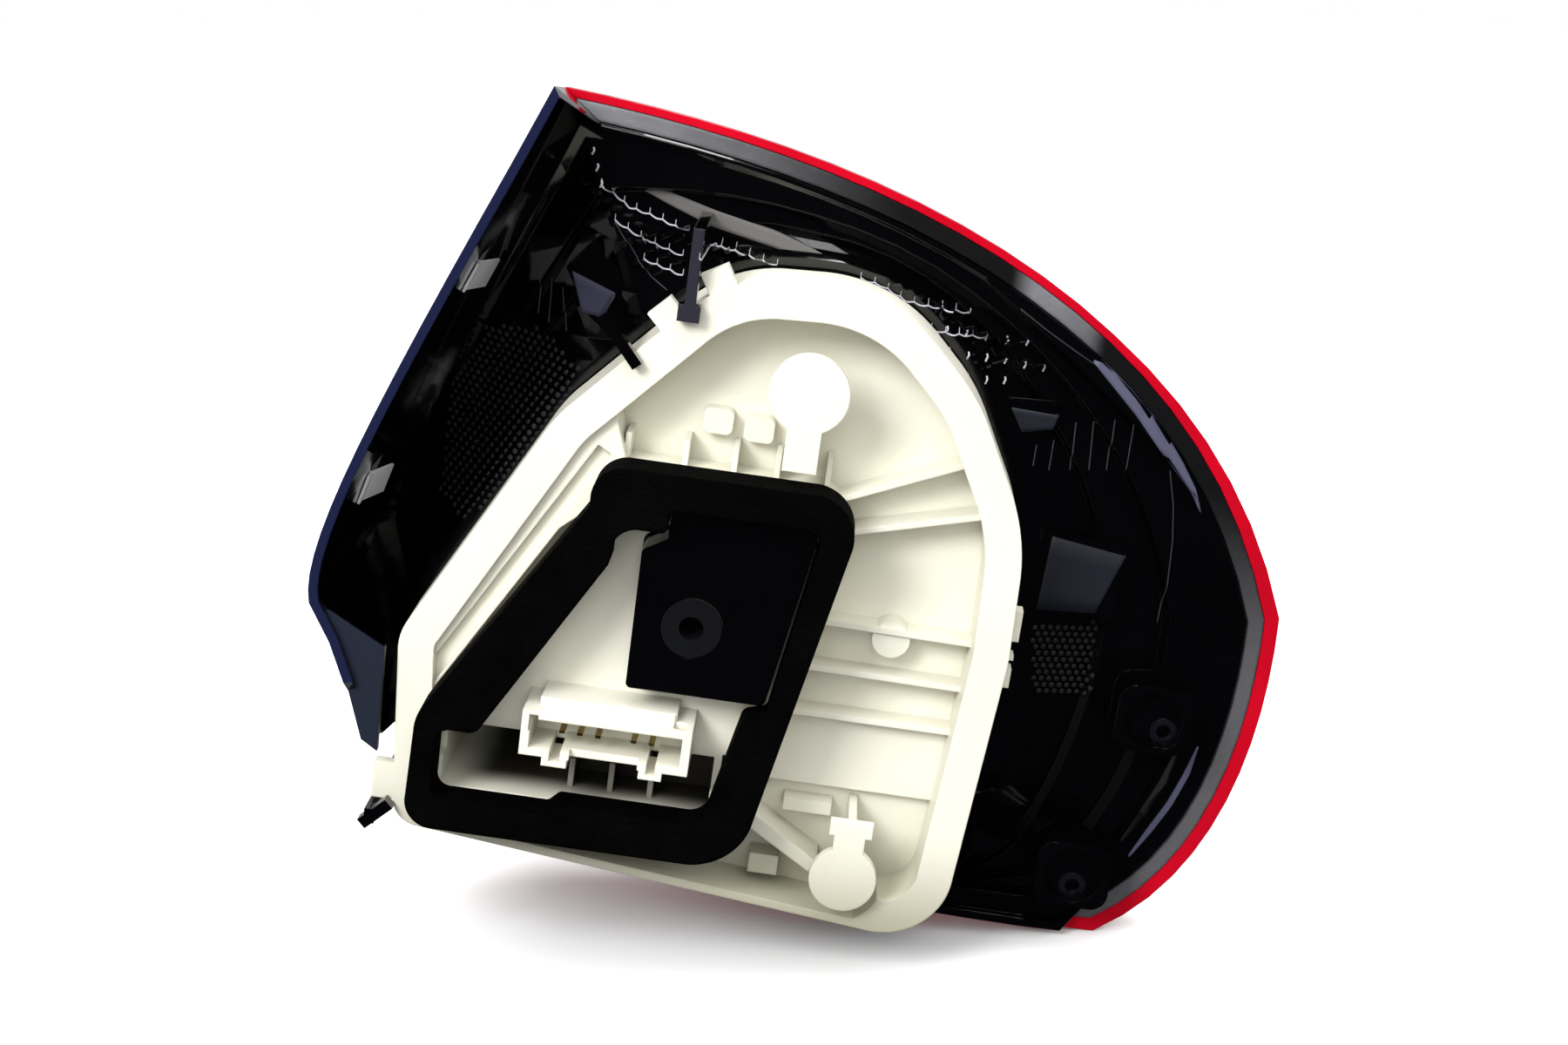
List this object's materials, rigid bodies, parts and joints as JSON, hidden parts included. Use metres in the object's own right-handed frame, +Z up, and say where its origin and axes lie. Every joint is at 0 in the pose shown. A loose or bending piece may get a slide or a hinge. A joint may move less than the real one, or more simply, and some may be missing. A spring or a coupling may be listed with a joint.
{
  "type": "tail light cluster",
  "caption": "Left rear lamp cluster, shown from its back: red wrap-round lens, black housing with a clipped side wall, ivory bulb carrier with thumb pads, foam gasket and connector shroud.",
  "frame": {"origin": "centre of the mouth of the threaded fixing bore in the middle of the back", "axes": "+X outboard, +Y from the car body towards the lens, +Z up; the fixing bore opens towards -Y"},
  "size_m": [0.2741, 0.128, 0.236],
  "materials": {
    "housing_black": "gloss black moulded plastic",
    "lens_red": "polished transparent red",
    "window_amber": "polished transparent amber",
    "window_clear": "polished clear",
    "bead_grey": "smooth grey bonding bead",
    "reflector_metal": "vacuum metallised",
    "reflex_red": "prismatic red",
    "carrier_ivory": "satin ivory moulded plastic",
    "seal_black": "smooth black rubber",
    "foam_black": "closed-cell foam",
    "insert_steel": "dark turned steel",
    "cup_steel": "turned steel",
    "clip_metal": "bronzed spring metal",
    "bulb_amber": "amber glass",
    "bulb_clear": "clear glass",
    "track_brass": "stamped sheet"
  },
  "bodies": {
    "root": {"housing": "housing_black", "outer_lens": "lens_red", "indicator_window": "window_amber", "reversing_window": "window_clear", "lens_bond_bead": "bead_grey", "reflector": "reflector_metal", "reflex_reflector": "reflex_red", "bulb_carrier": "carrier_ivory", "carrier_seal": "seal_black", "foam_gasket": "foam_black", "threaded_insert": "insert_steel", "cup_inserts": "cup_steel", "edge_clips": "clip_metal", "indicator_bulb": "bulb_amber", "stop_bulb": "bulb_clear", "tail_bulb": "bulb_clear", "reversing_bulb": "bulb_clear", "ground_track": "track_brass", "stop_track": "track_brass", "indicator_track": "track_brass", "tail_track": "track_brass", "reversing_track": "track_brass"}
  },
  "joints": []
}
